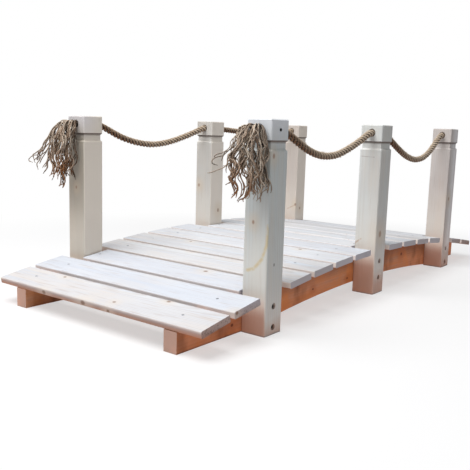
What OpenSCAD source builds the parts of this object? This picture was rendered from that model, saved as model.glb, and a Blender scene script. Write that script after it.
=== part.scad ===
// Arched pond bridge: two curved stringers, a plank deck, six grooved posts and two rope handrails.
// X runs along the bridge, Y across it and Z up from the ground, in millimetres.

/* [Stringers] */
// Length of each stringer board
stringer_l = 2150; // [1900:10:2400]
// Thickness of each stringer board
stringer_t = 50; // [36:1:70]
// Height of the stringer's top edge at mid span
crown_h = 162; // [150:1:200]
// Radius of the stringer's curved top edge
crown_r = 6000; // [5500:50:9000]
// Height of the arch cut from the stringer's bottom edge
arch_rise = 40; // [20:1:55]
// Width of that arch at the ground
arch_span = 1450; // [1100:10:1500]
// Distance over the outer faces of the two stringers
frame_w = 748; // [600:2:1000]

/* [Deck] */
// Number of planks, an odd number
plank_count = 15; // [13:2:15]
// Width of one plank
plank_w = 126; // [100:1:130]
// Thickness of one plank
plank_t = 22; // [18:1:35]
// Radius of a plank's long edges
plank_r = 4; // [1:0.5:8]
// How far a full plank stands past the posts' outer faces
plank_over = 1; // [0:0.5:30]
// Gap between a short plank's end and the post beside it
plank_clear = 4; // [1:0.5:10]
// Which plank from each end is cut short between the end posts
end_plank = 3; // [2:1:5]

/* [Posts] */
// Width of a square post
post_w = 90; // [70:1:100]
// Length of a post, from the ground up
post_h = 658; // [500:1:1000]
// How far an end post stands outward of its short plank's middle
post_shift = 10; // [0:1:20]
// Radius of a post's upright edges
post_edge_r = 5; // [2:0.5:10]
// Bevel round a post's top
post_bevel = 3; // [1:0.5:8]
// Height of the head above the groove
head_h = 62; // [50:1:100]
// Depth of the groove round the post
groove_d = 6; // [3:0.5:12]
// Height of the groove's straight neck
groove_neck = 20; // [8:1:40]
// Height of each sloping side of the groove
groove_slope = 6.5; // [2:0.5:12]

/* [Bolts] */
// Diameter of a bolt hole
bolt_hole_d = 9; // [7:0.5:13]
// Diameter of the recess for washer and nut
recess_d = 20; // [16:0.5:26]
// Depth of that recess
recess_depth = 14; // [8:1:25]
// Height of the lower bolt above the stringer's bottom edge
bolt_edge = 24; // [18:1:30]
// Distance between the two bolts of a post
bolt_pitch = 66; // [40:1:70]

/* [Rope] */
// Diameter of the rope
rope_d = 24; // [16:1:25]
// Diameter of the rope hole through a post
rope_hole_d = 27; // [26:0.5:34]
// Depth of the rope hole's middle below the post's top
rope_hole_drop = 30; // [20:1:40]
// Room left under the rope where it lies in its hole
rope_rest = 0.5; // [0.3:0.1:0.8]

/* [Hidden] */
$fn = 96;
arc_fn = 2880;
rope_sides = 12;
// How far a cutting shape runs past the face that it cuts
cut = 1;
left = 1;
right = -1;
near = 0;
middle = 1;
far = 2;
sides = [["left", left], ["right", right]];
places = [["near", near], ["middle", middle], ["far", far]];

arch_r = (pow(arch_span / 2, 2) + pow(arch_rise, 2)) / (2 * arch_rise);
post_y = (frame_w + post_w) / 2;
full_plank_l = frame_w + 2 * post_w + 2 * plank_over;
short_plank_l = frame_w - 2 * plank_clear;

// The end planks' outer edges finish flush with the ends of the stringers
plank_corner_r = norm([crown_r, plank_w / 2]);
end_angle = asin(stringer_l / 2 / plank_corner_r) - atan(plank_w / 2 / crown_r);
middle_plank = (plank_count + 1) / 2;
plank_step = end_angle / (plank_count - middle_plank);
function plank_angle(i) = (i - middle_plank) * plank_step;
function plank_name(i) = str("plank_", i < 10 ? "0" : "", i);
function is_short(i) = i == middle_plank || min(i, plank_count + 1 - i) == end_plank;

end_post_x = crown_r * sin(plank_angle(plank_count + 1 - end_plank)) + post_shift;
post_x = [-end_post_x, 0, end_post_x];
function stringer_bottom(x) = max(0, arch_rise - arch_r + sqrt(arch_r * arch_r - x * x));
function bolt_heights(x) = [for (k = [0, 1]) stringer_bottom(x) + bolt_edge + k * bolt_pitch];

rope_hole_z = post_h - rope_hole_drop;
rope_z = rope_hole_z - (rope_hole_d - rope_d) / 2 + rope_rest;

// Each rope from its near end to its far end: place along X and rise above its line in the holes
rope_right_route = [
    [-786, 0], [-760, 0], [-691, 0], [-660, -3], [-630, -11], [-590, -27], [-550, -44], [-500, -63],
    [-440, -78], [-370, -84], [-300, -78], [-230, -61], [-170, -42], [-110, -20], [-78, -7], [-45, 0],
    [0, 0], [45, 0], [78, -7], [110, -20], [155, -39], [210, -62], [275, -86], [340, -102],
    [405, -108], [470, -102], [530, -83], [585, -55], [630, -26], [660, -8], [691, 0], [740, 0], [793, 0]
];
rope_left_route = [
    [-786, 0], [-760, 0], [-691, 0], [-655, -6], [-610, -24], [-556, -45], [-500, -60], [-440, -70],
    [-380, -74], [-315, -69], [-250, -57], [-183, -40], [-115, -20], [-78, -8], [-45, 0], [0, 0],
    [45, 0], [105, -4], [170, -8], [240, -11], [310, -13], [380, -13], [450, -12], [520, -10],
    [590, -6], [645, -3], [691, 0], [740, 0], [793, 0]
];

// Each tassel from its rope's near end: outward, sideways, rise, half width and half depth
rope_r = rope_d / 2;
tassel_right_route = [
    [0, 0, 0, rope_r, rope_r], [3, 0, 0, 13, 13], [24, 3, -6, 26, 17], [42, 8, -24, 38, 22],
    [48, 12, -50, 46, 27], [49, 16, -90, 56, 33], [48, 20, -135, 64, 36], [45, 24, -180, 66, 36],
    [43, 26, -212, 50, 26], [43, 26, -228, 22, 12]
];
tassel_left_route = [
    [0, 0, 0, rope_r, rope_r], [3, 0, 0, 13, 13], [24, 6, -6, 28, 17], [42, 15, -24, 42, 22],
    [48, 24, -50, 54, 27], [49, 32, -90, 66, 33], [48, 40, -135, 74, 36], [45, 44, -180, 70, 36],
    [43, 45, -212, 50, 26], [43, 45, -228, 22, 12]
];

// A rectangle with round corners, centred on the origin
module rounded_rect(w, h, r) {
    square([w - 2 * r, h], center = true);
    square([w, h - 2 * r], center = true);
    for (x = [-1, 1], y = [-1, 1])
        translate([x * (w / 2 - r), y * (h / 2 - r)]) circle(r);
}

// The stringer's side view: a curved top, square ends, flat feet and an arch between them
module stringer_outline() {
    difference() {
        intersection() {
            translate([0, crown_h - crown_r]) circle(crown_r, $fn = arc_fn);
            translate([-stringer_l / 2, 0]) square([stringer_l, crown_h]);
        }
        translate([0, arch_rise - arch_r]) circle(arch_r, $fn = arc_fn);
    }
}

module stringer(side) {
    color("#a5714c") translate([0, side * (frame_w - stringer_t) / 2, 0]) difference() {
        rotate([90, 0, 0]) linear_extrude(stringer_t, center = true) stringer_outline();
        for (x = post_x, z = bolt_heights(x))
            translate([x, 0, z]) rotate([90, 0, 0])
                cylinder(d = bolt_hole_d, h = stringer_t + 2 * cut, center = true);
    }
}

// Plank i lies flat on the curve, with its middle touching the stringers
module plank(i) {
    plank_l = is_short(i) ? short_plank_l : full_plank_l;
    color("#e6e3df") translate([0, 0, crown_h - crown_r]) rotate([0, plank_angle(i), 0])
        translate([0, 0, crown_r + plank_t / 2]) rotate([90, 0, 0])
            linear_extrude(plank_l, center = true) rounded_rect(plank_w, plank_t, plank_r);
}

// What is cut from one face of a post: the groove below the head and the bevel round the top
module post_face_cut() {
    face = post_w / 2;
    out = face + cut;
    groove_top = post_h - head_h;
    neck_top = groove_top - groove_slope;
    neck_low = neck_top - groove_neck;
    groove_low = neck_low - groove_slope;
    rotate([90, 0, 0]) linear_extrude(post_w + 2 * cut, center = true) {
        polygon([
            [out, groove_top], [face, groove_top], [face - groove_d, neck_top],
            [face - groove_d, neck_low], [face, groove_low], [out, groove_low]
        ]);
        polygon([
            [face - post_bevel, post_h], [face, post_h - post_bevel], [out, post_h - post_bevel],
            [out, post_h + cut], [face - post_bevel, post_h + cut]
        ]);
    }
}

// A bolt hole through the post, with the recess for washer and nut in its outer face
module bolt_hole() {
    cylinder(d = bolt_hole_d, h = post_w + 2 * cut, center = true);
    translate([0, 0, post_w / 2 - recess_depth]) cylinder(d = recess_d, h = recess_depth + cut);
}

module post(side, place) {
    color("#cfc9c2") translate([post_x[place], side * post_y, 0]) difference() {
        linear_extrude(post_h) rounded_rect(post_w, post_w, post_edge_r);
        for (turn = [0:90:270])
            rotate(turn) post_face_cut();
        translate([0, 0, rope_hole_z]) rotate([0, 90, 0])
            cylinder(d = rope_hole_d, h = post_w + 2 * cut, center = true);
        for (z = bolt_heights(post_x[place]))
            translate([0, 0, z]) rotate([-90 * side, 0, 0]) bolt_hole();
    }
}

// The direction of a route at its point i
function heading(points, i) = points[min(i + 1, len(points) - 1)] - points[max(i - 1, 0)];

// An oval ring of points square to a direction, with its width level
function ring(centre, direction, half_w, half_d) =
    let (ahead = direction / norm(direction))
    let (across = [0, 1, 0] - ahead[1] * ahead)
    let (wide = across / norm(across))
    let (deep = cross(ahead, wide))
    [
        for (k = [0:rope_sides - 1])
            let (a = (k + 0.5) * 360 / rope_sides)
            centre + half_w * cos(a) * wide + half_d * sin(a) * deep
    ];

// A tube through a list of points, with its half width and half depth at each of them
module sweep(points, half_w, half_d) {
    n = rope_sides;
    last = len(points) - 1;
    rings = [for (i = [0:last]) each ring(points[i], heading(points, i), half_w[i], half_d[i])];
    walls = [
        for (i = [0:last - 1], k = [0:n - 1])
            let (m = (k + 1) % n)
            [i * n + k, (i + 1) * n + k, (i + 1) * n + m, i * n + m]
    ];
    near_end = [for (k = [0:n - 1]) k];
    far_end = [for (k = [n - 1:-1:0]) last * n + k];
    polyhedron(rings, concat([near_end], walls, [far_end]));
}

module rope(side, route) {
    points = [for (p = route) [p[0], side * post_y, rope_z + p[1]]];
    radii = [for (p = route) rope_r];
    color("#8f7250") sweep(points, radii, radii);
}

module tassel(side, rope_route, route) {
    start = [rope_route[0][0], side * post_y, rope_z];
    points = [for (p = route) start + [-p[0], p[1], p[2]]];
    color("#9c8058") sweep(points, [for (p = route) p[3]], [for (p = route) p[4]]);
}

for (s = sides)
    stringer(s[1]);
for (i = [1:plank_count])
    plank(i);
for (s = sides, p = places)
    post(s[1], p[1]);
rope(left, rope_left_route);  // rope_left
rope(right, rope_right_route);  // rope_right
tassel(left, rope_left_route, tassel_left_route);  // tassel_left
tassel(right, rope_right_route, tassel_right_route);  // tassel_right
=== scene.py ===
import math
import random

import bpy
import numpy as np
from mathutils import Matrix, Vector


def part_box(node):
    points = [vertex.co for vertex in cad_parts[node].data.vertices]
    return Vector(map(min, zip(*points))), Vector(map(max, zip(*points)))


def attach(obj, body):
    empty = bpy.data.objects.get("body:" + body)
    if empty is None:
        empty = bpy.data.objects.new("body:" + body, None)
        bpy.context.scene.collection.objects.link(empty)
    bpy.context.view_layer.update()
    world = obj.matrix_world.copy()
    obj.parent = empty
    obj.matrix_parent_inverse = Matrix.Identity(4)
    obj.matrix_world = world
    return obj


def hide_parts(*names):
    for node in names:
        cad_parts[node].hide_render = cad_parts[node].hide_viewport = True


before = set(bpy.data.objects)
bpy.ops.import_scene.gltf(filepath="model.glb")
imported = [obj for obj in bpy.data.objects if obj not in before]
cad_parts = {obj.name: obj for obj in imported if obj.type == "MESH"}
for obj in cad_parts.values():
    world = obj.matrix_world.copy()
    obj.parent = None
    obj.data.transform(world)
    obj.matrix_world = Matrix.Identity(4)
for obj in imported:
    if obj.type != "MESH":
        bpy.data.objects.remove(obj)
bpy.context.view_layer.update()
print("frame loaded:", len(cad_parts), "nodes")


# helpers

def mm(value):
    return value / 1000.0


def hexColour(code):
    parts = [int(code[i:i + 2], 16) / 255.0 for i in (1, 3, 5)]
    linear = [c / 12.92 if c <= 0.04045 else ((c + 0.055) / 1.055) ** 2.4 for c in parts]
    return (*linear, 1.0)


def addNode(tree, kind, *values, out=0, **settings):  # links what is a socket, sets the rest
    node = tree.nodes.new("ShaderNode" + kind)
    for key, value in [*settings.items(), *enumerate(values)]:
        if isinstance(value, bpy.types.NodeSocket):
            tree.links.new(value, node.inputs[key])
        elif isinstance(key, str) and hasattr(node, key):
            setattr(node, key, value)
        elif value is not None:
            node.inputs[key].default_value = value
    return node.outputs[out]


# each coat says how it is laid and its colour, then its masks, which are all multiplied: a socket, the values
# it runs between, and the coat's share at both
def layCoats(tree, colour, coats):
    for way, over, *masks in coats:
        share = 1.0
        for mask in masks:
            one = addNode(tree, "MapRange", *mask)
            share = addNode(tree, "Math", share, one, operation="MULTIPLY")
        ends = [colour, hexColour(over) if isinstance(over, str) else over]
        colour = addNode(tree, "Mix", share, *[None] * 5, *ends, data_type="RGBA", blend_type=way, out=2)
    return colour


def newMaterial(name, roughness, ior=1.5, metallic=0.0):
    material = bpy.data.materials.new(name)
    material.use_nodes = True
    shader = material.node_tree.nodes["Principled BSDF"]
    shader.inputs["Roughness"].default_value = roughness
    shader.inputs["IOR"].default_value = ior
    shader.inputs["Metallic"].default_value = metallic
    return material, material.node_tree, shader


def makePiece(name, verts, faces, material, smooth=True, marks=None):
    mesh = bpy.data.meshes.new(name)
    mesh.from_pydata([tuple(v) for v in verts], [], faces)
    mesh.validate()
    for label, values in (marks or {}).items():  # one number for each vertex, read by the material
        layer = mesh.attributes.new(label, "FLOAT", "POINT")
        layer.data.foreach_set("value", np.asarray(values, np.float32))
    mesh.polygons.foreach_set("use_smooth", [smooth] * len(mesh.polygons))
    mesh.materials.append(material)
    piece = bpy.data.objects.new(name, mesh)
    bpy.context.scene.collection.objects.link(piece)
    return piece


# camera, fitted to the corners of posts, planks and stringers

view = {
    "eye": (-2.3669, -1.5578, 0.6209),  # metres
    "yaw": 37.50,  # degrees from +X towards +Y
    "pitch": -9.05,
    "roll": 1.72,
    "focalPixels": 655.6,
    "imagePixels": 470,
    "sensor": 36.0,
}


def makeCamera():
    yaw, pitch, roll = (math.radians(view[k]) for k in ("yaw", "pitch", "roll"))
    ahead = Vector((math.cos(pitch) * math.cos(yaw), math.cos(pitch) * math.sin(yaw), math.sin(pitch)))
    level = Vector((math.sin(yaw), -math.cos(yaw), 0.0))
    upright = level.cross(ahead)
    right = level * math.cos(roll) + upright * math.sin(roll)
    up = upright * math.cos(roll) - level * math.sin(roll)
    data = bpy.data.cameras.new("camera")
    data.sensor_fit = "HORIZONTAL"
    data.sensor_width = view["sensor"]
    data.lens = view["focalPixels"] / view["imagePixels"] * view["sensor"]
    camera = bpy.data.objects.new("camera", data)
    turn = Matrix((right, up, -ahead)).transposed()
    camera.matrix_world = Matrix.Translation(view["eye"]) @ turn.to_4x4()
    bpy.context.scene.collection.objects.link(camera)
    bpy.context.scene.camera = camera


makeCamera()
print("camera set")


# sisal fibre, spun into yarns: dull straw brown on the laid rope, bleached greyer where the yarns hang
# open; pale on the crowns, with painted shade in the creases and on the yarns' flanks, brown at the cut tips

sisal = {
    "rope": {
        "name": "sisal laid rope",
        "pale": "#f6e7d3", "mid": "#caab88", "aged": "#75451a", "dark": "#1d120b",
    },
    "yarns": {
        "name": "sisal yarn, unlaid",
        "pale": "#ffeed9", "mid": "#a47e60", "aged": "#b87840", "dark": "#1e120b",
    },
    "roughness": 0.85,
    "fibreMm": 1.2,  # real fibres are 0.2 mm, drawn coarser so that they show
    "streaky": 0.25,  # share of dark between the fibres
    "bumpMm": 0.5,
}


def spunSisal(look):
    material, tree, shader = newMaterial(look["name"], sisal["roughness"])
    tone, crown, age = [addNode(tree, "Attribute", attribute_name=label, out="Fac")
                        for label in ("tone", "crown", "age")]
    place = addNode(tree, "TexCoord", out="Object")
    scale = 1 / mm(sisal["fibreMm"] * 4)
    fibres = addNode(tree, "TexNoise", Scale=scale, Detail=4.0, Vector=place)
    colour = layCoats(tree, hexColour(look["mid"]), [
        ("MIX", look["pale"], (tone,)),
        ("MIX", look["aged"], (age,)),
        ("MIX", look["dark"], (fibres, 0.3, 0.7, sisal["streaky"], 0.0)),
        # painted shade in the creases, on the yarns' flanks and near the posts
        ("MIX", look["dark"], (crown, 0.0, 1.0, 1.0, 0.0)),
    ])
    bump = addNode(tree, "Bump", Strength=0.5, Distance=mm(sisal["bumpMm"]), Height=fibres)
    tree.links.new(colour, shader.inputs["Base Color"])
    tree.links.new(bump, shader.inputs["Normal"])
    return material


# ropes: three strands laid hard and right-handed, hanging between the posts

rope = {
    "diameter": mm(24),
    "lineHeight": mm(627),  # centre of the rope where it lies in its holes
    "sideways": mm(419),  # from the middle of the bridge to the middle of a post
    "strands": 3,
    "strandRadius": mm(5.9),
    "crest": mm(12.6),  # from the rope's middle to the top of a strand
    "lay": mm(54),  # length of one whole turn of a strand
    "yarnsPerStrand": 7,
    "yarnRelief": 0.06,  # share of the strand's radius
    "ringStep": mm(2.6),
    "ringSides": 28,
    "laidEnd": mm(-768),  # inside the near hole, where the strands open into yarns
    "hairs": 420,  # loose fibre ends that stand off the strands
    "hairRadius": mm(0.3),
    "hairMm": (10, 26),
    "hairLiftMm": (0.8, 3.6),
    "hairRoot": mm(1.5),  # a hair starts so deep in its strand
    "hairSlant": 0.7,
    "crowned": (0.84, 0.13),  # share of the crest where the painted crease shade ends, and over how much
    "creaseLeast": 0.03,  # what shows of the tone under the painted shade in the creases
    # painted light on the ridges of the yarns in each strand
    "crownRelief": 0.16,
    "tone": (0.3, 0.75),
    "aged": {"all": 0.16, "below": 0.6, "rain": 0.7, "least": 0.03, "most": 0.92},
    "runOff": [(mm(-691), mm(340)), (mm(45), mm(260))],  # rain runs out of the holes: from here, so far along
}
# place along the bridge and rise above the line in the holes, in mm, from the near end
ropeRoutes = {
    "right": [
        (-786, 0), (-760, 0), (-691, 0), (-660, -3), (-630, -11), (-590, -27), (-550, -44), (-500, -63),
        (-440, -78), (-370, -84), (-300, -78), (-230, -61), (-170, -42), (-110, -20), (-78, -7), (-45, 0),
        (0, 0), (45, 0), (78, -7), (110, -20), (155, -39), (210, -62), (275, -86), (340, -102),
        (405, -108), (470, -102), (530, -83), (585, -55), (630, -26), (660, -8), (691, 0), (740, 0), (793, 0),
    ],
    "left": [
        (-786, 0), (-760, 0), (-691, 0), (-655, -6), (-610, -24), (-556, -45), (-500, -60), (-440, -70),
        (-380, -74), (-315, -69), (-250, -57), (-183, -40), (-115, -20), (-78, -8), (-45, 0), (0, 0),
        (45, 0), (105, -4), (170, -8), (240, -11), (310, -13), (380, -13), (450, -12), (520, -10),
        (590, -6), (645, -3), (691, 0), (740, 0), (793, 0),
    ],
}
sideSign = {"left": 1, "right": -1}
# the rope's own line inside each tassel: outward from its near end, sideways and rise, in mm
tailRoutes = {
    "right": [(0, 0, 0), (12, 1, -2), (24, 2, -6), (36, 4, -15), (44, 7, -29), (49, 10, -50), (51, 12, -75),
              (52, 14, -112)],
    "left": [(0, 0, 0), (12, 2, -2), (24, 5, -6), (36, 9, -15), (45, 14, -29), (51, 20, -50), (55, 27, -75),
             (58, 34, -112)],
}
tail = {"yarns": 15, "yarnRadius": mm(1.9), "bundle": mm(8), "wander": mm(5), "back": mm(26)}
farTuft = {"yarns": 14, "length": mm(7), "reach": mm(9), "splay": 0.5, "droop": 0.15, "yarnRadius": mm(1.5)}


def smoothLine(points, step):
    pts = np.array(points, float)
    pts = np.vstack([2 * pts[0] - pts[1], pts, 2 * pts[-1] - pts[-2]])
    dense = []
    for a, b, c, d in zip(pts[:-3], pts[1:-2], pts[2:-1], pts[3:]):
        for t in np.linspace(0, 1, 24, endpoint=False):
            dense.append(0.5 * (2 * b + (c - a) * t + (2 * a - 5 * b + 4 * c - d) * t * t
                                + (3 * b - a - 3 * c + d) * t ** 3))
    dense.append(pts[-2])
    dense = np.array(dense)
    along = np.concatenate([[0], np.cumsum(np.linalg.norm(np.diff(dense, axis=0), axis=1))])
    at = np.linspace(0, along[-1], max(2, int(along[-1] / step) + 1))
    return np.stack([np.interp(at, along, dense[:, k]) for k in range(3)], axis=1)


def framesAlong(line):
    ahead = np.gradient(line, axis=0)
    ahead /= np.linalg.norm(ahead, axis=1)[:, None]
    first = np.cross(ahead[0], (0.0, 1.0, 0.0))
    if np.linalg.norm(first) < 0.1:
        first = np.cross(ahead[0], (1.0, 0.0, 0.0))
    sideA = [first / np.linalg.norm(first)]
    for d in ahead[1:]:  # carried along without twist
        s = sideA[-1] - d * np.dot(sideA[-1], d)
        sideA.append(s / np.linalg.norm(s))
    sideA = np.array(sideA)
    return ahead, sideA, np.cross(ahead, sideA)


def ringFaces(rings, sides):  # quads between rings of points, and a cap on each end
    faces = []
    for i in range(rings - 1):
        a, b = i * sides, (i + 1) * sides
        faces += [[a + k, a + (k + 1) % sides, b + (k + 1) % sides, b + k] for k in range(sides)]
    last = (rings - 1) * sides
    return faces + [list(range(sides))[::-1], list(range(last, last + sides))]


def tube(line, radius, sides, lobes=0, relief=0.0, twist=0.0):
    _, sideA, sideB = framesAlong(line)
    count = len(line)
    along = np.concatenate([[0], np.cumsum(np.linalg.norm(np.diff(line, axis=0), axis=1))])
    angle = np.arange(sides) * 2 * math.pi / sides
    radius = np.broadcast_to(np.asarray(radius, float), (count,))
    turn = angle[None, :] + twist * along[:, None]
    ridge = np.cos(lobes * angle)[None, :] if lobes else np.zeros((1, sides))
    reach = radius[:, None] * (1 + relief * ridge)
    around = np.cos(turn)[..., None] * sideA[:, None, :] + np.sin(turn)[..., None] * sideB[:, None, :]
    verts = line[:, None, :] + reach[..., None] * around
    return verts.reshape(-1, 3), ringFaces(count, sides), np.broadcast_to(ridge, (count, sides)).reshape(-1)


class Bundle:  # many tubes joined in one mesh
    def __init__(self):
        self.verts, self.faces, self.count = [], [], 0
        self.marks = {"tone": [], "crown": [], "age": []}

    def add(self, verts, faces, **marks):
        self.verts.append(verts)
        self.faces += [[v + self.count for v in f] for f in faces]
        self.count += len(verts)
        for label, store in self.marks.items():
            store.append(np.broadcast_to(np.asarray(marks[label], float), (len(verts),)))

    def piece(self, name, material):
        marks = {label: np.concatenate(store) for label, store in self.marks.items()}
        return makePiece(name, np.vstack(self.verts), self.faces, material, marks=marks)


def ropeLine(side):
    y = sideSign[side] * rope["sideways"]
    return [(mm(x), y, rope["lineHeight"] + mm(rise)) for x, rise in ropeRoutes[side]]


def tailLine(side):
    startX = mm(ropeRoutes[side][0][0])
    y = sideSign[side] * rope["sideways"]
    return [(startX - mm(out), y + mm(across), rope["lineHeight"] + mm(rise))
            for out, across, rise in tailRoutes[side]]


def layStrands(bundle, line, rng):
    _, sideA, sideB = framesAlong(line)
    along = np.arange(len(line)) * np.linalg.norm(line[1] - line[0])
    centreOff = rope["crest"] - rope["strandRadius"]
    twist = -2 * math.pi / (rope["lay"] * 0.9)  # yarns turn against the strands
    for k in range(rope["strands"]):
        phase = 2 * math.pi * (along / rope["lay"] + k / rope["strands"])
        strand = line + centreOff * (np.cos(phase)[:, None] * sideA + np.sin(phase)[:, None] * sideB)
        verts, faces, ridge = tube(strand, rope["strandRadius"], rope["ringSides"], rope["yarnsPerStrand"],
                                   rope["yarnRelief"], twist)
        fromAxis = np.linalg.norm(verts - np.repeat(line, rope["ringSides"], axis=0), axis=1)
        # painted shade in the creases between the strands, painted light on the yarn ridges
        edge, width = rope["crowned"]
        crown = np.clip((fromAxis / rope["crest"] - edge) / width, 0, 1)
        darkened = [np.where(verts[:, 0] > start, np.clip(1 - (verts[:, 0] - start) / length, 0, 1), 0)
               for start, length in rope["runOff"]]
        below = np.repeat(line[:, 2], rope["ringSides"]) - verts[:, 2]  # browner towards the underside
        aged = rope["aged"]
        age = aged["all"] + aged["below"] * below / rope["crest"] + aged["rain"] * np.maximum(*darkened)
        age = np.clip(age, aged["least"], aged["most"])
        least = rope["creaseLeast"]
        crown = np.clip(least + (1 - least) * crown + rope["crownRelief"] * ridge, 0, 1)
        bundle.add(verts, faces, tone=rng.uniform(*rope["tone"]), age=age, crown=crown)


def raiseHairs(bundle, line, rng):
    _, sideA, sideB = framesAlong(line)
    step = np.linalg.norm(line[1] - line[0])
    for _ in range(rope["hairs"]):
        length, lift = mm(rng.uniform(*rope["hairMm"])), mm(rng.uniform(*rope["hairLiftMm"]))
        first = rng.randrange(4, len(line) - int(length / step) - 4)
        share = np.linspace(0, 1, 5)
        turn = rng.uniform(0, 2 * math.pi) + rng.uniform(-rope["hairSlant"], rope["hairSlant"]) * share
        reach = rope["crest"] - rope["hairRoot"] + (lift + rope["hairRoot"]) * share ** 1.4
        at = first + (share * length / step).astype(int)
        spokes = np.cos(turn)[:, None] * sideA[at] + np.sin(turn)[:, None] * sideB[at]
        verts, faces, _ = tube(line[at] + reach[:, None] * spokes, rope["hairRadius"], 4)
        bundle.add(verts, faces, tone=rng.random(), age=0.0, crown=rng.uniform(0.7, 1.0))


def openTail(bundle, path, rng):  # yarns that stay near the rope's own line
    _, sideA, sideB = framesAlong(path)
    share = np.linspace(0, 1, len(path))
    for _ in range(tail["yarns"]):
        angle, reach = rng.uniform(0, 2 * math.pi), tail["bundle"] * math.sqrt(rng.uniform(0.05, 1.0))
        waves, start = rng.uniform(1.2, 2.4), rng.uniform(0, 2 * math.pi)
        swing = start + 2 * math.pi * waves * share
        room = np.clip(share * 4, 0, 1)
        offA = reach * math.cos(angle) + room * tail["wander"] * np.sin(swing)
        offB = reach * math.sin(angle) + room * tail["wander"] * np.cos(swing * 0.8)
        yarn = path + offA[:, None] * sideA + offB[:, None] * sideB
        verts, faces, _ = tube(yarn, tail["yarnRadius"], 6)
        bundle.add(verts, faces, tone=rng.random(), age=0.1, crown=rng.uniform(0.5, 1.0))


def fraySquareEnd(bundle, line, rng):  # short fibres on the far end's cut
    end, ahead = line[-1], line[-1] - line[-2]
    ahead = ahead / np.linalg.norm(ahead)
    for _ in range(farTuft["yarns"]):
        angle, reach = rng.uniform(0, 2 * math.pi), farTuft["reach"] * math.sqrt(rng.random())
        off = np.array((0.0, reach * math.cos(angle), reach * math.sin(angle)))
        grow = ahead + farTuft["splay"] * off / farTuft["reach"] - np.array((0, 0, farTuft["droop"]))
        steps = np.linspace(-0.6, 1, 5)[:, None] * farTuft["length"] * rng.uniform(0.6, 1.0)
        verts, faces, _ = tube(end + off + steps * grow, farTuft["yarnRadius"], 6)
        bundle.add(verts, faces, tone=rng.random(), age=0.3, crown=rng.uniform(0.6, 1.0))


def makeRope(side, material):
    rng = random.Random("rope " + side)
    bundle = Bundle()
    line = smoothLine(ropeLine(side), rope["ringStep"])
    laidLine = line[line[:, 0] > rope["laidEnd"]]
    layStrands(bundle, laidLine, rng)
    raiseHairs(bundle, laidLine, rng)
    tailPath = smoothLine(tailLine(side), mm(4))
    openTail(bundle, np.vstack([tailPath[0] + (tail["back"], 0, 0), tailPath]), rng)
    fraySquareEnd(bundle, line, rng)
    piece = bundle.piece("rope_" + side + "_laid", material)
    path = [tuple(p) for p in tailPath[::-1]] + [tuple(p) for p in line[::4]] + [tuple(line[-1])]
    return piece, path


# tassels: the yarns of each rope's near end, unlaid and combed out into locks by hand

# each lock: how many yarns, how brown its tips are, then its line from the near mouth of the hole,
# as outward, sideways (+Y) and rise in mm
locks = {
    "right": [
        (9, 0.1, [(8, -16, 7), (20, -36, -28), (24, -44, -70), (30, -40, -94), (34, -26, -112),
            (28, -38, -136), (24, -50, -160), (24, -42, -204)]),
        (9, 0.1, [(18, -9, 10), (36, -18, -26), (36, -30, -67), (40, -32, -101), (44, -28, -133),
            (40, -44, -173), (40, -36, -199)]),
        (10, 0.2, [(30, -4, 10), (48, -12, -19), (54, -12, -54), (54, -16, -88), (54, -28, -122),
            (56, -20, -153), (54, -36, -180), (54, -22, -197)]),
        (10, 0.8, [(40, 9, 9), (58, 12, -20), (64, 20, -48), (66, 0, -78), (66, 7, -113),
            (64, -15, -147), (62, -4, -182), (62, 23, -218)]),
        (10, 1.0, [(42, 17, 8), (60, 24, -17), (68, 12, -45), (76, 32, -80), (78, 8, -107),
            (82, 26, -144), (80, 8, -178), (82, 41, -214)]),
        (8, 0.7, [(40, 27, 5), (58, 35, -20), (66, 23, -42), (76, 42, -74), (82, 42, -117),
            (82, 30, -141), (86, 45, -158)]),
        (3, 0.2, [(40, 33, 3), (58, 40, -18), (68, 42, -39), (72, 46, -54), (80, 64, -66),
            (88, 80, -74), (94, 87, -90), (92, 72, -103), (84, 54, -102)]),
        (2, 0.2, [(40, 33, 3), (58, 40, -18), (72, 45, -64), (76, 45, -95), (92, 70, -117),
            (104, 106, -134)]),
        (6, 0.3, [(9, -8, 6), (16, -20, -26), (15, -26, -70), (14, -22, -112), (14, -30, -150),
            (13, -26, -182)]),
        (6, 0.7, [(14, 8, 8), (28, 12, -22), (28, 6, -64), (26, 10, -108), (24, 2, -150),
            (22, 8, -196)]),
    ],
    "left": [
        (8, 0.5, [(10, -6, 12), (24, -22, -16), (34, -8, -56), (40, 0, -100), (40, -10, -139),
            (44, 2, -172), (44, -4, -190)]),
        (13, 0.9, [(22, -2, 10), (46, -16, -38), (56, -8, -83), (56, -15, -126), (60, 4, -170),
            (60, -4, -206), (60, 12, -230)]),
        (12, 1.0, [(36, 6, 9), (60, 0, -30), (68, -16, -74), (74, 4, -118), (74, -2, -162),
            (72, 15, -200)]),
        (10, 0.7, [(40, 18, 7), (66, 20, -38), (78, 28, -85), (82, 30, -128), (78, 22, -164),
            (84, 45, -206)]),
        (6, 0.3, [(42, 26, 5), (66, 35, -30), (80, 32, -67), (88, 45, -112), (92, 54, -152),
            (96, 74, -186)]),
        (4, 0.1, [(42, 34, 3), (66, 50, -30), (84, 64, -58), (92, 62, -94), (104, 90, -110),
            (112, 114, -128), (110, 104, -142), (114, 124, -162)]),
        (3, 0.1, [(42, 34, 3), (66, 50, -30), (84, 64, -58), (90, 68, -94), (98, 78, -120),
            (102, 88, -148), (104, 100, -172)]),
        (6, 0.9, [(10, -2, 8), (20, -12, -24), (22, -6, -66), (20, -14, -110), (22, 0, -150),
            (20, -4, -188)]),
        (6, 0.9, [(16, 14, 8), (36, 18, -26), (38, 24, -70), (36, 18, -112), (34, 26, -156),
            (32, 24, -198)]),
    ],
}
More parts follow.
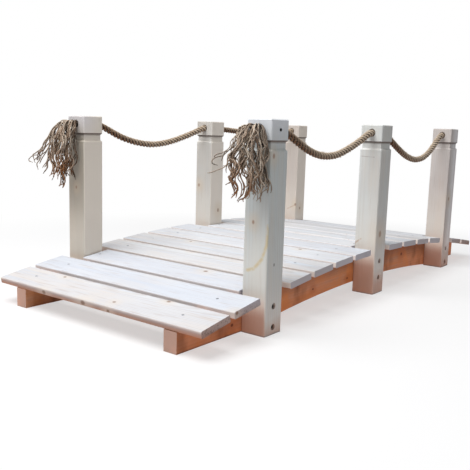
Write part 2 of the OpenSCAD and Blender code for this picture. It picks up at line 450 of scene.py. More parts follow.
yarnLook = {
    "radius": mm(1.95),
    "plies": 3,  # twisted together, with painted shade in the creases between them
    "plyTurn": mm(16),
    "plyRelief": 0.16,
    "sides": 9,
    "stepMm": 4.0,
    "stray": 11.0,  # mm that a yarn leaves its lock's line
    "strayKept": 0.62,  # share of its stray that it keeps at the next bend
    "bundleMm": 10.0,  # radius of the yarns inside the hole, where they start so deep
    "insideMm": 18.0,
    "freeMm": 26.0,  # length from there to where a yarn hangs clear of the post
    "crimpMm": (1.6, 5.0),
    "crimpLengthMm": (45, 95),
    "thick": (0.75, 1.2),
    "palest": {"left": 0.0, "right": 0.2},  # least tone of a yarn: the right tassel is painted paler to lift the shade it hangs in
    "brownMm": (70, 110),  # below the hole, where tips start to brown, and over how much
    "litMm": 38.0,  # from the post's face, where the painted shade on a yarn ends
    "litLeast": 0.1,
    "paleFrom": 0.24,  # how far a yarn's surface is turned out before its painted flank shade ends
    "paleOver": 0.46,
    "flank": 0.05,  # what is left of its tone under the painted shade on its flanks
    "cut": (0.8, 1.03),  # share of the lock's length at which a yarn is cut
    "faceGap": 3.0,  # mm clear of the post
    "paintedLightTilt": (-0.05, -0.01, 0.03),  # metres: the painted light falls on the sides turned out and up
}


def yarnLine(guide, rng):
    angle, reach = rng.uniform(0, 2 * math.pi), yarnLook["bundleMm"] * math.sqrt(rng.random())
    root = (-yarnLook["insideMm"], reach * math.cos(angle), reach * math.sin(angle))
    points = [root, (1.0, 0.9 * root[1], 0.9 * root[2])]
    drift = np.zeros(3)
    for n, spot in enumerate(guide):  # the yarns of a lock cross each other on the way down
        loose = min(1.0, 0.2 + n / 2.5) * yarnLook["stray"]
        step = [rng.uniform(-0.8, 0.8), rng.uniform(-1, 1), rng.uniform(-0.6, 0.6)]
        drift = yarnLook["strayKept"] * drift + loose * np.array(step)
        points.append(np.array(spot) + drift + (0, 0.3 * root[1], 0.3 * root[2]))
    line = smoothLine(points, yarnLook["stepMm"])
    line = line[:max(8, int(len(line) * rng.uniform(*yarnLook["cut"])))]
    along = np.arange(len(line)) * yarnLook["stepMm"]
    for axis in (0, 1, 2):  # the crimp that the lay has left in the yarn
        size, wave = rng.uniform(*yarnLook["crimpMm"]), rng.uniform(*yarnLook["crimpLengthMm"])
        swing = np.sin(2 * math.pi * along / wave + rng.uniform(0, 2 * math.pi))
        line[:, axis] += size * np.clip(along / 60 - 0.3, 0, 1) * swing
    free = along > yarnLook["freeMm"]
    line[free, 0] = np.maximum(line[free, 0], yarnLook["faceGap"])
    return line


def paintedYarnLight(verts, line, side):  # painted light where a yarn faces out of the tassel, painted shade on its flanks
    core = smoothLine(tailLine(side), mm(4))
    nearest = np.argmin(np.linalg.norm(line[:, None, :] - core[None, :, :], axis=2), axis=1)
    away = line - core[nearest] + np.array(yarnLook["paintedLightTilt"])
    away /= np.linalg.norm(away, axis=1)[:, None]
    spoke = verts.reshape(len(line), yarnLook["sides"], 3) - line[:, None, :]
    spoke /= np.linalg.norm(spoke, axis=2)[..., None]
    turn = np.abs(np.sum(spoke * away[:, None, :], axis=2)).reshape(-1)
    flank = yarnLook["flank"]
    return np.clip(flank + (1 - flank) * (turn - yarnLook["paleFrom"]) / yarnLook["paleOver"], flank, 1.0)


def makeTassel(side, material):
    rng = random.Random("tassel " + side)
    bundle = Bundle()
    least = yarnLook["palest"][side]
    sides = yarnLook["sides"]
    brownFrom, brownOver = yarnLook["brownMm"]
    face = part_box("post_" + side + "_near")[0].x
    start = np.array((face, sideSign[side] * rope["sideways"], rope["lineHeight"]))
    for count, brown, guide in locks[side]:
        for _ in range(count):
            line = yarnLine(guide, rng)
            share = np.linspace(0, 1, len(line))
            placed = start + np.stack([-line[:, 0], line[:, 1], line[:, 2]], axis=1) / 1000.0
            thick = yarnLook["radius"] * rng.uniform(*yarnLook["thick"]) * np.where(share > 0.97, 0.6, 1.0)
            verts, faces, ridge = tube(placed, thick, sides, yarnLook["plies"], yarnLook["plyRelief"],
                                       2 * math.pi / yarnLook["plyTurn"])
            age = np.repeat(brown * np.clip((-line[:, 2] - brownFrom) / brownOver, 0, 1), sides)
            # painted shade: darker near the post, on the yarns' flanks and in the ply creases
            lit = np.clip(yarnLook["litLeast"] + line[:, 0] / yarnLook["litMm"], yarnLook["litLeast"], 1.0)
            crown = np.repeat(lit, sides) * paintedYarnLight(verts, placed, side) * (0.92 + 0.08 * ridge)
            bundle.add(verts, faces, tone=least + (1 - least) * rng.random(), age=age, crown=crown)
    return bundle.piece("tassel_" + side + "_yarns", material)


ropeMaterial = spunSisal(sisal["rope"])
yarnMaterial = spunSisal(sisal["yarns"])
for side in ("left", "right"):
    yarns = makeTassel(side, yarnMaterial)
    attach(yarns, "root")
    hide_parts("tassel_" + side)
    laid, ropePath = makeRope(side, ropeMaterial)
    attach(laid, "root")
    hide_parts("rope_" + side)


# zinc-plated steel: dull grey metal with dark tarnished patches; the bolts' steel is darkened all over, a
# painted shade of their recesses

steel = {
    # the bolts' colour is darkened all over as painted shade of their recesses
    "bolts": {"name": "zinc-plated steel weathered", "clean": "#3e3f3f", "tarnish": "#1a1816"},
    "screws": {"name": "zinc-plated steel", "clean": "#d4d7dd", "tarnish": "#9b9ea5"},
    "roughness": (0.35, 0.7),  # clean, tarnished
    "patchMm": 5.0,
    "patchFrom": (0.4, 0.65),
}


def platedSteel(look):
    material, tree, shader = newMaterial(look["name"], steel["roughness"][0], metallic=1.0)
    place = addNode(tree, "TexCoord", out="Object")
    scale = 1 / mm(steel["patchMm"] * 2)
    patch = addNode(tree, "TexNoise", Scale=scale, Detail=4.0, Roughness=0.65, Vector=place)
    spotted = (patch, *steel["patchFrom"])
    colour = layCoats(tree, hexColour(look["clean"]), [("MIX", look["tarnish"], spotted)])
    rough = addNode(tree, "MapRange", *spotted, *steel["roughness"])
    tree.links.new(colour, shader.inputs["Base Color"])
    tree.links.new(rough, shader.inputs["Roughness"])
    return material


# fasteners: bolts through posts and stringers, screws in the deck, a screw through each rope near its tassel

bolt = {
    "radius": mm(4),
    "recessFloor": mm(450),  # from the middle of the bridge, 14 mm inside the posts' outer faces
    "washer": (mm(8), mm(1.6)),
    "nutFlats": mm(13),
    "nutHeight": mm(6.5),
    "pastNut": mm(2.6),
    "pitch": mm(1.25),
    "headRadius": mm(10),
    "headHeight": mm(4.6),
    "innerFace": mm(324),  # inner faces of the stringers
    "heights": {"near": (mm(24), mm(90)), "middle": (mm(64), mm(130)), "far": (mm(24), mm(90))},
}
deckScrew = {"radius": mm(4.4), "proud": mm(0.7), "sideways": mm(349), "drive": mm(1.9)}
deck = {"crownRadius": mm(6000), "crownHeight": mm(162), "plank": mm(22)}
ropeScrew = {"radius": mm(4.8), "height": mm(2.6)}


def ringStack(rings):  # rings of (height, [radii around]) closed into a solid
    sides = len(rings[0][1])
    verts = [(r * math.cos(2 * math.pi * k / sides), r * math.sin(2 * math.pi * k / sides), z)
             for z, radii in rings for k, r in enumerate(radii)]
    return verts, ringFaces(len(rings), sides)


def turned(profile, sides=24):
    return ringStack([(z, [r] * sides) for r, z in profile])


def hexNut():
    half, tall = bolt["nutFlats"] / 2, bolt["nutHeight"]
    corner = math.pi / 3
    flats = [half / math.cos((k * math.pi / 18 + corner / 2) % corner - corner / 2) for k in range(36)]
    eased = [min(r, half * 1.07) for r in flats]
    return ringStack([(0, eased), (mm(0.6), flats), (tall - mm(0.6), flats), (tall, eased),
                      (tall, [bolt["radius"] * 1.1] * 36)])


def boltEnd():
    top = bolt["washer"][1] + bolt["nutHeight"] + bolt["pastNut"]
    turns = int(top / bolt["pitch"])
    profile = [(bolt["radius"] * (1.0 if n % 2 else 0.9), n * bolt["pitch"] / 2) for n in range(2 * turns)]
    return turned(profile + [(bolt["radius"] * 0.8, top), (bolt["radius"] * 0.1, top + mm(0.5))])


def domedHead():
    reach, tall = bolt["headRadius"], bolt["headHeight"]
    steps = [n * math.pi / 16 for n in range(8)]
    rim = mm(0.8)
    return turned([(reach, 0)] + [(reach * math.cos(a), rim + (tall - rim) * math.sin(a)) for a in steps])


def starScrew():  # six-lobed drive in a flat head
    reach, tall = deckScrew["radius"], deckScrew["proud"]
    star = [deckScrew["drive"] * (1 + 0.14 * math.cos(6 * k * math.pi / 18)) for k in range(36)]
    return ringStack([(0, [reach] * 36), (tall * 0.7, [reach] * 36), (tall, [reach * 0.92] * 36),
                      (tall * 0.9, star), (tall * 0.2, [r * 0.9 for r in star])])


def panScrew():
    reach, tall = ropeScrew["radius"], ropeScrew["height"]
    return turned([(reach, 0), (reach, tall * 0.45), (reach * 0.9, tall * 0.75), (reach * 0.62, tall),
                   (reach * 0.3, tall), (reach * 0.28, tall * 0.3)])


class Fitting:  # many small solids joined in one mesh
    def __init__(self):
        self.verts, self.faces = [], []

    def add(self, solid, at, ahead, spin=0.0):
        verts, faces = solid
        turn = Vector(ahead).to_track_quat("Z", "Y").to_matrix() @ Matrix.Rotation(spin, 3, "Z")
        first = len(self.verts)
        self.verts += [Vector(at) + turn @ Vector(v) for v in verts]
        self.faces += [[v + first for v in f] for f in faces]

    def piece(self, name, material):
        made = makePiece(name, self.verts, self.faces, material)
        edges = made.modifiers.new("crisp edges", "EDGE_SPLIT")
        edges.split_angle = math.radians(35)
        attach(made, "root")
        return made


def makeFasteners(boltSteel, screwSteel):
    rng = random.Random("fasteners")
    for side, sign in sideSign.items():
        bolts = Fitting()
        for place, heights in bolt["heights"].items():
            low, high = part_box("post_" + side + "_" + place)
            for z in heights:
                x, outer = (low.x + high.x) / 2, (0, sign, 0)
                seat = Vector((x, sign * bolt["recessFloor"], z))
                reach, thick = bolt["washer"]
                bolts.add(turned([(reach, 0), (reach, thick), (bolt["radius"], thick)]), seat, outer)
                bolts.add(hexNut(), seat + Vector((0, sign * thick, 0)), outer, rng.uniform(0, 1))
                bolts.add(boltEnd(), seat, outer)
                bolts.add(domedHead(), (x, sign * bolt["innerFace"], z), (0, -sign, 0))
        bolts.piece("bolts_" + side, boltSteel)
    screws = Fitting()
    for n in range(1, 16):
        low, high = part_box("plank_%02d" % n)
        lean = math.asin((low.x + high.x) / 2 / (deck["crownRadius"] + deck["plank"] / 2))
        up = Vector((math.sin(lean), 0, math.cos(lean)))
        centre = Vector((0, 0, deck["crownHeight"] - deck["crownRadius"]))
        top = centre + up * (deck["crownRadius"] + deck["plank"])
        for sign in (1, -1):
            along, across = mm(rng.uniform(-5, 5)), mm(rng.uniform(-5, 5))
            shift = Vector((along, sign * deckScrew["sideways"] + across, -along * math.tan(lean)))
            screws.add(starScrew(), top + shift, up, rng.uniform(0, 1))
    screws.piece("deck_screws", screwSteel)
    pins = Fitting()
    for side, sign in sideSign.items():
        low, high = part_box("post_" + side + "_near")
        outerFace = high.y if sign > 0 else low.y
        pins.add(panScrew(), ((low.x + high.x) / 2, outerFace, rope["lineHeight"]), (0, sign, 0))
    pins.piece("rope_screws", boltSteel)


makeFasteners(platedSteel(steel["bolts"]), platedSteel(steel["screws"]))
print("fasteners set")


# planed spruce: pale early wood with thin darker late wood in lines along the board, arcs on the sawn ends,
# and brown knots

spruce = {
    "deck": {
        "name": "spruce planed and bleached",
        "grain": 1,  # axis along the grain: 0 is X, 1 is Y, 2 is Z
        "sizeMm": (126, 930, 40),
        "early": "#e4e9f0", "late": "#c4b9b4", "warm": "#e7e1dc", "cool": "#dde6f2",
        "end": "#b3b5c1",  # sawn ends drink more and look greyer
        "endLow": "#a18a84",  # browner on the plank nearest to the ground
        "edge": "#f6f0ec",  # the narrow faces, painted paler to lift their shade in the gaps between planks
        "edgeLow": "#b8a39d",  # darker and browner on the plank nearest to the ground
        "lowBetween": (mm(132), mm(96)),  # heights between which the ends turn brown
        "edgeLowBetween": (mm(88), mm(78)),  # and the edges
        "earthBetween": (mm(80), mm(72)),  # and between which they take the colour of the undersides
        "grit": "#4f3f39",  # dirt in the lowest ends
        "under": "#bd8a6e",  # the faces turned down are orange-brown
        "low": "#eec4b4",  # painted warm shade close to the ground
        "knot": "#86654f", "halo": "#e3d6c8",
        "ringMm": 7.0,  # real rings are 3 mm, drawn wider so that they show
        "ringShare": 0.45,
        "roughness": 0.6,
        # place in mm, radius in mm
        "knots": [((-971, 246, 105), 5), ((-1045, -86, 93), 5), ((-964, -238, 104), 6),
                  ((-1076, 221, 75), 7), ((-1076, 23, 76), 8), ((-1076, -93, 72), 5),
                  ((-922, -465, 107), 6), ((-690, -150, 142), 7), ((-560, -290, 160), 6),
                  ((-520, 60, 162), 5), ((-250, -250, 178), 6), ((-395, 180, 172), 5)],
    },
    "post": {
        "name": "spruce planed post timber",
        "grain": 2,
        "sizeMm": (90, 90, 658),
        "early": "#dfe2e0", "late": "#c6bfb6", "warm": "#ddd8d0", "cool": "#d9dddd",
        "end": "#d4d0cb",
        "deckGlowInner": "#fcf2e5",  # painted light thrown back by the white deck onto the left posts' inner faces
        "deckGlowInnerShare": 0.75,
        # painted warm shade close to the ground, darker and pinker towards the foot
        "low": "#e5cac1",
        "deckGlowNear": "#fbf3e6",  # painted light from the deck on the near faces just above it
        "deckGlowNearBetween": (mm(400), mm(215)),
        "deckGlowNearShare": 0.38,
        "knot": "#ae8f79", "halo": "#e0cdb4",
        "ringMm": 8.0,
        "ringShare": 0.28,
        "roughness": 0.6,
        "knots": [((-781, -408, 350), 5), ((-765, -464, 550), 6), ((-11, -464, 238), 10),
                  ((-781, 419, 393), 5), ((-45, 445, 365), 6), ((13, 374, 249), 7),
                  ((720, -464, 330), 7), ((735, 374, 205), 6), ((691, 376, 228), 6),
                  ((781, 430, 250), 8), ((-700, 464, 300), 8), ((10, 464, 450), 7), ((45, -400, 350), 6)],
    },
    "stringer": {
        "name": "spruce sawn and stained",
        "grain": 0,
        "sizeMm": (2150, 50, 162),
        # the orange is partly the stain of the wood and partly painted warm light from the ground
        "early": "#e0a078", "late": "#a9663e", "warm": "#e09558", "cool": "#cda78e",
        "end": "#c8a799",
        "low": "#ffffff",
        "knot": "#5b2d18", "halo": "#b5622c",
        "ringMm": 9.0,
        "ringShare": 0.18,
        "roughness": 0.65,
        "knots": [((-826, -374, 31), 5), ((-350, -374, 61), 4), ((-91, -374, 60), 4), ((420, -374, 90), 7),
                  ((-500, 324, 70), 7), ((300, 374, 80), 8), ((620, 324, 60), 6)],
    },
}
# marks drawn as short straight stretches between two places in mm: dried resin on the near right post,
# paler heads and a paler face, a scratch below a groove, and traces of twigs in the planks
marks = {
    "post": [
        {"colour": "#dcc383", "halfWidthMm": 8.0, "share": 0.8,
         "stretches": [((-782, -464, 345), (-782, -460, 285)), ((-782, -460, 285), (-782, -444, 240)),
                       ((-782, -444, 240), (-782, -416, 208)), ((-782, -416, 208), (-782, -392, 200))]},
        {"colour": "#f6f9ff", "halfWidthMm": 90.0, "share": 0.8, "even": True,
         "stretches": [((-781, -464, 650), (-781, -374, 650)), ((-781, -464, 650), (-691, -464, 650))]},
        {"colour": "#f6f4fb", "halfWidthMm": 80.0, "share": 0.6, "even": True,
         "stretches": [((-781, 374, 650), (-781, 464, 650))]},
        {"colour": "#fdfdff", "halfWidthMm": 58.0, "share": 0.8, "even": True,
         "stretches": [((752, -464, 120), (752, -464, 640))]},
        {"colour": "#b98f68", "halfWidthMm": 5.0, "share": 0.6,
         "stretches": [((691, 424, 202), (691, 376, 226)), ((-45, -376, 196), (-45, -400, 216))]},
        {"colour": "#4e4b47", "halfWidthMm": 4.5, "share": 0.9,
         "stretches": [((-742, -464, 219), (-742, -464, 223))]},
        {"colour": "#8f7f7c", "halfWidthMm": 2.6, "share": 0.6,
         "stretches": [((-46, -378, 538), (-46, -436, 536))]},
    ],
    "deck": [
        {"colour": "#b79c88", "halfWidthMm": 3.0, "share": 0.7,
         "stretches": [((-1068, 20, 80), (-1030, 4, 88)), ((-1040, 130, 88), (-1062, 92, 84)),
                       ((-1012, 150, 94), (-1020, 210, 92)), ((-1030, -160, 90), (-1052, -196, 86)),
                       ((-985, 60, 100), (-972, -20, 103)), ((-900, 100, 112), (-894, 10, 114)),
                       ((-800, -60, 128), (-806, -180, 127)), ((-700, 120, 141), (-694, 20, 142)),
                       ((192, -130, 181), (150, -235, 182)), ((112, -236, 183), (72, -300, 184)),
                       ((230, -190, 180), (205, -270, 180))]},
    ],
    "stringer": [],
}
# painted shade under the posts' heads, just below the groove's upper edge
headShade = {"colour": "#5a4a40", "topMm": 596.4, "edgeMm": 0.8, "fullMm": 593.0, "lowMm": 584.0, "share": 0.92}
# painted shadow in the mouths of the rope holes: a dark rim, a little wider above the rope
holeShadow = {"colour": "#4a3a2d", "radiusMm": 16.0, "edgeMm": 1.5, "riseMm": 1.2, "share": 0.8}
# runs of rain water down the stringers: their size along X, Y and Z, and a band of painted shade under the
# planks
rain = {
    "sizeMm": (111.1, 166.7, 200.0),
    "dark": "#84502f", "bright": "#e69858", "share": 0.7,
    "darkened": "#5e3219", "shadeShare": 0.6,
    "shadeDepths": (mm(84), mm(34)),  # below the stringers' top, where it starts and where it is full
    "shadeRagged": mm(60),
    "shadeEnds": (mm(860), mm(700)),  # from the middle, where it fades out
}
# tints of single pieces, seen side by side in the light
pieceTint = {
    "post_left_near": "#dad0c3", "post_left_middle": "#f3eeea", "post_left_far": "#f3e6df",
    "post_right_near": "#f8fdff", "post_right_far": "#efe5e3",
    "plank_01": "#f6f3f1", "plank_02": "#f4f6fa", "plank_03": "#f5f6f9", "plank_04": "#f9f7f5",
    "plank_05": "#f6f5f4", "plank_07": "#f9fafc", "plank_11": "#fbf8f5",
}
# what all the boards share: the size of each pattern, and how strongly it shows
figure = {
    "streakMm": 29.41,  # broad streaks with the grain
    "fineMm": 6.667,  # thin lines between them
    "fibreMm": 2.381,  # raised fibres, drawn coarser than real ones so that they show
    "stainMm": 200.0,  # slow change of tone over a board
    "blotMm": 16.67,  # breaks up resin, scratches and traces
    "blotFrom": (0.3, 0.52),
    "markFullMm": 0.5,  # half width of the full middle of a mark
    "gritMm": 5.263,
    "swayMm": 111.1,  # rings wander, over this length and by this much
    "swayByMm": 22.0,
    "pithA": (-0.04, 0.14),  # metres from a board's corner to the middle of its tree
    "pithB": (-0.12, 0.10),
    "arch": 0.06,  # the pith runs out of line, which opens the rings into long arches
    "apart": 9.0,  # metres between the patterns of two boards
    "stir": 37.7,  # makes a second chance number of the first
    "knotLong": 0.75,  # knots are cut a little slantwise, so longer with the grain
    "knotRim": (1.35, 0.5),  # in radii, where a knot starts and where it is full
    "haloRim": (7.0, 1.0),
    "haloShare": 0.4,
    "knotShare": 0.85,
    "endShare": 0.8,
    "lowMm": (8, -55),  # above the stringers' top, where the painted warm shade near the ground starts and is full
    "lowOuterMm": 70,  # so much lower on the outer faces
    "ringBump": 0.4,
    "bumpStrength": 0.25,
    "bumpMm": 0.6,
}


def ringLines(tree, look, chance):  # late wood of the year rings, and the board's own coordinates
    sizes = [mm(s) for s in look["sizeMm"]]
    whole = addNode(tree, "TexCoord", out="Generated")
    board = addNode(tree, "VectorMath", whole, sizes, operation="MULTIPLY")
    many = addNode(tree, "Math", chance, figure["stir"], operation="MULTIPLY")
    other = addNode(tree, "Math", many, operation="FRACT")
    pithA = addNode(tree, "MapRange", chance, 0.0, 1.0, *figure["pithA"])
    pithB = addNode(tree, "MapRange", other, 0.0, 1.0, *figure["pithB"])
    centre = [pithA, pithB]
    centre.insert(look["grain"], chance)
    pith = addNode(tree, "CombineXYZ", *centre)
    fromPith = addNode(tree, "VectorMath", board, pith, operation="SUBTRACT")
    squeeze = [figure["arch"] if a == look["grain"] else 1.0 for a in range(3)]
    flat = addNode(tree, "VectorMath", fromPith, squeeze, operation="MULTIPLY")
    shift = addNode(tree, "Math", chance, figure["apart"], operation="MULTIPLY")
    aside = addNode(tree, "CombineXYZ", shift)
    seeded = addNode(tree, "VectorMath", flat, aside, operation="ADD")
    reach = addNode(tree, "VectorMath", flat, operation="LENGTH", out="Value")
    sway = addNode(tree, "TexNoise", Scale=1 / mm(figure["swayMm"]), Detail=2.0, Vector=seeded)
    swayed = addNode(tree, "Math", sway, mm(figure["swayByMm"]), reach, operation="MULTIPLY_ADD")
    turns = addNode(tree, "Math", swayed, mm(look["ringMm"]), operation="DIVIDE")
    within = addNode(tree, "Math", turns, operation="FRACT")
    late = addNode(tree, "ValToRGB", within)
    ramp = late.node.color_ramp  # grows slowly over the year, then stops short
    ramp.elements[0].color = (0, 0, 0, 1)
    ramp.elements[1].position, ramp.elements[1].color = 0.85, (1, 1, 1, 1)
    ramp.elements.new(0.35).color = (0.12, 0.12, 0.12, 1)
    ramp.elements.new(1.0).color = (0, 0, 0, 1)
    return late, seeded


def knotMasks(tree, look, place):  # the knots themselves, and the resin-rich wood round them
    stretch = [figure["knotLong"] if a == look["grain"] else 1.0 for a in range(3)]
    found = {"knotRim": 0.0, "haloRim": 0.0}
    for at, radius in look["knots"]:
        spot = [mm(v) for v in at]
        away = addNode(tree, "VectorMath", place, spot, operation="SUBTRACT")
        eased = addNode(tree, "VectorMath", away, stretch, operation="MULTIPLY")
        reach = addNode(tree, "VectorMath", eased, operation="LENGTH", out="Value")
        for rim, before in found.items():
            start, full = [mm(radius * share) for share in figure[rim]]
            one = addNode(tree, "MapRange", reach, start, full, interpolation_type="SMOOTHSTEP")
            found[rim] = addNode(tree, "Math", before, one, operation="MAXIMUM")
    return found["knotRim"], found["haloRim"]


def streakMask(tree, mark, place):  # nearness to a bent line, broken up by noise unless it is even
    total = 0.0
    for start, end in mark["stretches"]:
        start, end = Vector(start) / 1000.0, Vector(end) / 1000.0
        run = end - start
        fromStart = addNode(tree, "VectorMath", place, start, operation="SUBTRACT")
        onRun = run / run.length_squared
        dot = addNode(tree, "VectorMath", fromStart, onRun, operation="DOT_PRODUCT", out="Value")
        along = addNode(tree, "Clamp", dot)
        foot = addNode(tree, "VectorMath", run, operation="SCALE", Scale=along)
        reach = addNode(tree, "VectorMath", fromStart, foot, operation="DISTANCE", out="Value")
        one = addNode(tree, "MapRange", reach, mm(mark["halfWidthMm"]), mm(figure["markFullMm"]))
        total = addNode(tree, "Math", total, one, operation="MAXIMUM")
    share = mark["share"]
    if "even" not in mark:
        blot = addNode(tree, "TexNoise", Scale=1 / mm(figure["blotMm"]), Detail=3.0, Vector=place)
        share = addNode(tree, "MapRange", blot, *figure["blotFrom"], 0.0, share)
    return addNode(tree, "Math", total, share, operation="MULTIPLY")


def headShadeMask(tree, height):
    top, full, low = [mm(headShade[k]) for k in ("topMm", "fullMm", "lowMm")]
    below = addNode(tree, "MapRange", height, top, top - mm(headShade["edgeMm"]))
    fade = addNode(tree, "MapRange", height, low, full, 0.0, headShade["share"],
                   interpolation_type="SMOOTHSTEP")
    return addNode(tree, "Math", below, fade, operation="MULTIPLY")


def holeShadowMask(tree, across, height):  # painted shadow in the mouths of the rope holes, where a hole is wider than its rope
    side = addNode(tree, "Math", across, operation="ABSOLUTE")
    centre = (rope["sideways"], rope["lineHeight"] + mm(holeShadow["riseMm"]), 0.0)
    flat = addNode(tree, "CombineXYZ", side, height)
    reach = addNode(tree, "VectorMath", flat, centre, operation="DISTANCE", out="Value")
    rim = mm(holeShadow["radiusMm"])
    ring = addNode(tree, "MapRange", reach, rim, rim - mm(holeShadow["edgeMm"]), 0.0, holeShadow["share"])
    square = addNode(tree, "MapRange", facing(tree, 0), 0.6, 0.9)
    return addNode(tree, "Math", ring, square, operation="MULTIPLY")


def normalPart(tree, axis):
    normal = addNode(tree, "NewGeometry", out="True Normal")
    return addNode(tree, "SeparateXYZ", normal, out=axis)


def facing(tree, axis):  # 1 on faces square to the axis, 0 along it
    return addNode(tree, "Math", normalPart(tree, axis), operation="ABSOLUTE")


def groundShade(tree, length, height):  # painted warm shade near the ground: grows from the deck's underside down, later on the outer faces
    square = addNode(tree, "Math", length, length, operation="MULTIPLY")
    drop = addNode(tree, "Math", square, 0.5 / deck["crownRadius"], operation="MULTIPLY")
    raised = addNode(tree, "Math", height, drop, operation="ADD")
    outer = addNode(tree, "Math", facing(tree, 1), mm(figure["lowOuterMm"]), raised, operation="MULTIPLY_ADD")
    return addNode(tree, "MapRange", outer, *[deck["crownHeight"] + mm(v) for v in figure["lowMm"]])


def deckCoats(tree, look, place, height):  # narrow faces painted pale to lift their shade, brown undersides, and the lowest ends gritty
    upward = normalPart(tree, 2)
    grit = addNode(tree, "TexNoise", Scale=1 / mm(figure["gritMm"]), Detail=2.0, Vector=place)
    low = (height, *look["lowBetween"])
    ends = layCoats(tree, hexColour(look["end"]), [
        ("MIX", look["endLow"], low),
        ("MIX", look["grit"], low, (grit, 0.5, 0.62, 0.0, 0.75)),
    ])
    edges = layCoats(tree, hexColour(look["edge"]), [
        ("MIX", look["edgeLow"], (height, *look["edgeLowBetween"])),
    ])
    return ends, [
        ("MIX", edges, (upward, 0.75, 0.35, 0.0, 0.9)),
        ("MIX", look["under"], (upward, -0.3, -0.8)),
        ("MIX", look["under"], (height, *look["earthBetween"], 0.0, 0.7)),
    ]


def stringerCoats(tree, place, length):  # rain has run down them in uneven brown streaks, with painted shade under the planks
    scale = [1 / mm(s) for s in rain["sizeMm"]]
    run = addNode(tree, "VectorMath", place, scale, operation="MULTIPLY")
    weep = addNode(tree, "TexNoise", Scale=1.0, Detail=3.0, Vector=run)
    flat = addNode(tree, "VectorMath", place, (1, 0, 1), operation="MULTIPLY")
    centre = (0, 0, deck["crownHeight"] - deck["crownRadius"])
    reach = addNode(tree, "VectorMath", flat, centre, operation="DISTANCE", out="Value")
    uneven = rain["shadeRagged"]
    ragged = addNode(tree, "Math", weep, uneven, reach, operation="MULTIPLY_ADD")
    shadeFrom = [deck["crownRadius"] + uneven / 2 - depth for depth in rain["shadeDepths"]]
    fromMiddle = addNode(tree, "Math", length, operation="ABSOLUTE")
    return [
        ("MIX", rain["dark"], (weep, 0.52, 0.68, 0.0, rain["share"])),
        ("MIX", rain["bright"], (weep, 0.46, 0.34, 0.0, rain["share"])),
        # painted shade under the planks
        ("MIX", rain["darkened"], (ragged, *shadeFrom, 0.0, rain["shadeShare"]), (fromMiddle, *rain["shadeEnds"])),
    ]


def planedSpruce(kind):
    look = spruce[kind]
    rings = look["ringShare"]
    material, tree, shader = newMaterial(look["name"], look["roughness"])
    place = addNode(tree, "TexCoord", out="Object")
    length, across, height = [addNode(tree, "SeparateXYZ", place, out=axis) for axis in range(3)]
    late, seeded = ringLines(tree, look, addNode(tree, "ObjectInfo", out="Random"))
    streak, fine, fibre, stain = [
        addNode(tree, "TexNoise", Scale=1 / mm(figure[size]), Detail=detail, Roughness=rough, Vector=base)
        for size, detail, rough, base in (("streakMm", 3.0, 0.6, seeded), ("fineMm", 2.0, 0.5, seeded),
                                          ("fibreMm", 2.0, 0.5, seeded), ("stainMm", 4.0, 0.5, place))]
    coats = [
        ("MIX", look["cool"], (streak, 0.35, 0.65)),
        ("MIX", look["early"], (stain, 0.4, 0.62, 0.25, 0.85)),
        ("MIX", look["late"], (late,), (streak, 0.38, 0.6, 0.25 * rings, 1.1 * rings)),  # rings come and go
        ("MIX", look["late"], (fine, 0.56, 0.72, 0.0, rings)),
    ]
    ends = look["end"]
    if kind == "deck":
        ends, faces = deckCoats(tree, look, place, height)
        coats += faces
    if kind == "stringer":
        coats += stringerCoats(tree, place, length)
    coats += [
        ("MIX", ends, (facing(tree, look["grain"]), 0.7, 0.95, 0.0, figure["endShare"])),
        ("MULTIPLY", addNode(tree, "ObjectInfo", out="Color")),  # the piece's tint
    ]
    if kind == "post":  # painted light that the white deck throws on the left posts' inner faces and on the near faces above the deck
        coats += [
            ("MIX", look["deckGlowInner"], (normalPart(tree, 1), -0.4, -0.8, 0.0, look["deckGlowInnerShare"]),
             (across, 0.0, 0.1)),
            ("MIX", look["deckGlowNear"], (height, *look["deckGlowNearBetween"], 0.0, look["deckGlowNearShare"]),
             (facing(tree, 0),)),
        ]
    # painted warm shade near the ground
    coats.append(("MULTIPLY", look["low"], (groundShade(tree, length, height),)))
    coats += [("MIX", mark["colour"], (streakMask(tree, mark, place),)) for mark in marks[kind]]
    if kind == "post":
        coats += [
            # painted shade under the heads
            ("MIX", headShade["colour"], (headShadeMask(tree, height),)),
            # painted shadow in the mouths of the rope holes
            ("MIX", holeShadow["colour"], (holeShadowMask(tree, across, height),)),
        ]
    core, halo = knotMasks(tree, look, place)
    coats += [
        ("MIX", look["halo"], (halo, 0.0, 1.0, 0.0, figure["haloShare"])),
        ("MIX", look["knot"], (core, 0.0, 1.0, 0.0, figure["knotShare"])),
    ]
    tree.links.new(layCoats(tree, hexColour(look["warm"]), coats), shader.inputs["Base Color"])
    relief = addNode(tree, "Math", late, figure["ringBump"], fibre, operation="MULTIPLY_ADD")
    strength, deep = figure["bumpStrength"], mm(figure["bumpMm"])
    bump = addNode(tree, "Bump", Strength=strength, Distance=deep, Height=relief)
    tree.links.new(bump, shader.inputs["Normal"])
    return material


woods = {kind: planedSpruce(kind) for kind in spruce}
for name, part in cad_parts.items():
    kind = {"plank": "deck", "post_": "post", "strin": "stringer"}.get(name[:5])
    if kind:
        part.data.materials.clear()
        part.data.materials.append(woods[kind])
        part.color = hexColour(pieceTint.get(name, "#ffffff"))
print("timber dressed")


# floor and light: one wide softbox overhead, a little to the near left, a dim even fill, and reflectors on
# the floor

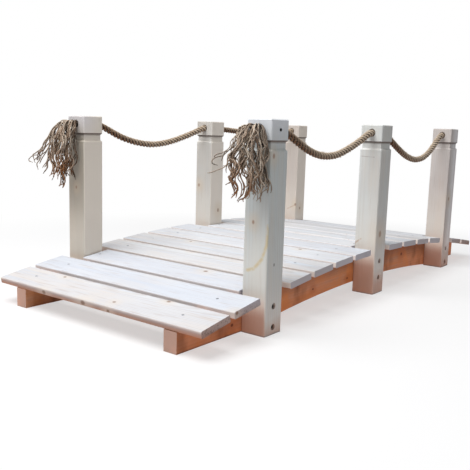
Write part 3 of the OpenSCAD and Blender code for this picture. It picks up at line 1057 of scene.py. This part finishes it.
stage = {
    "floorSize": 60.0,
    "floor": "#f6f6f7",
    "bounce": "#c4c4c6",  # what the bridge gets back from the floor
    "fadeFrom": 1.1,  # metres from the middle, where the floor starts to fade into white
    "fadeTo": 2.3,
    "lift": 0.55,  # share of that white right under the bridge, which softens its shadow
    "skyFill": 0.285,
    "keyPower": 203.0,
    "keySize": 3.6,
    "keyAt": (-1.9, 0.5, 4.05),
    # reflectors flat on the floor: place across the bridge and width in metres, power, colour
    "reflectors": [(-0.5, 0.3, 0.95, "#ffc4a4"), (0.0, 0.5, 0.8, "#fff3ec"), (0.5, 0.3, 0.95, "#ffc4a4")],
    "reflectorLength": 2.7,
}


def makeFloor():
    half = stage["floorSize"] / 2
    material, tree, shader = newMaterial("matt studio floor", 0.9)
    seen = addNode(tree, "LightPath", out="Is Camera Ray")
    colour = layCoats(tree, hexColour(stage["bounce"]), [("MIX", stage["floor"], (seen,))])
    tree.links.new(colour, shader.inputs["Base Color"])
    place = addNode(tree, "TexCoord", out="Object")
    reach = addNode(tree, "VectorMath", place, operation="LENGTH", out="Value")
    fade = addNode(tree, "MapRange", reach, stage["fadeFrom"], stage["fadeTo"], stage["lift"],
                   interpolation_type="SMOOTHSTEP")
    white = addNode(tree, "Math", fade, seen, operation="MULTIPLY")
    sweep = addNode(tree, "Emission", Color=(1, 1, 1, 1), Strength=1.0)
    mix = addNode(tree, "MixShader", white, shader.outputs[0], sweep)
    tree.links.new(mix, tree.nodes["Material Output"].inputs["Surface"])
    corners = [(-half, -half, 0), (half, -half, 0), (half, half, 0), (-half, half, 0)]
    floor = makePiece("floor", corners, [[0, 1, 2, 3]], material)


def makeLight():
    world = bpy.data.worlds.new("studio")
    bpy.context.scene.world = world
    world.use_nodes = True
    tree = world.node_tree
    back = tree.nodes["Background"]
    back.inputs["Color"].default_value = (1, 1, 1, 1)
    seen = addNode(tree, "LightPath", out="Is Camera Ray")
    level = addNode(tree, "MapRange", seen, 0.0, 1.0, stage["skyFill"], 1.0)
    tree.links.new(level, back.inputs["Strength"])
    lamp = bpy.data.lights.new("overhead softbox", "AREA")
    lamp.shape = "DISK"
    lamp.size = stage["keySize"]
    lamp.energy = stage["keyPower"]
    key = bpy.data.objects.new("overhead softbox", lamp)
    key.location = stage["keyAt"]
    key.rotation_euler = (Vector((0, 0, 0.2)) - key.location).to_track_quat("-Z", "Y").to_euler()
    bpy.context.scene.collection.objects.link(key)
    for across, width, power, colour in stage["reflectors"]:
        glow = bpy.data.lights.new("reflector", "AREA")
        glow.shape = "RECTANGLE"
        glow.size, glow.size_y = stage["reflectorLength"], width
        glow.energy = power
        glow.color = hexColour(colour)[:3]
        below = bpy.data.objects.new("reflector", glow)
        below.location = (0, across, 0.004)
        below.rotation_euler = (math.pi, 0, 0)
        below.visible_camera = False
        bpy.context.scene.collection.objects.link(below)
    bpy.context.scene.view_settings.view_transform = "Standard"


makeFloor()
makeLight()
print("stage set")
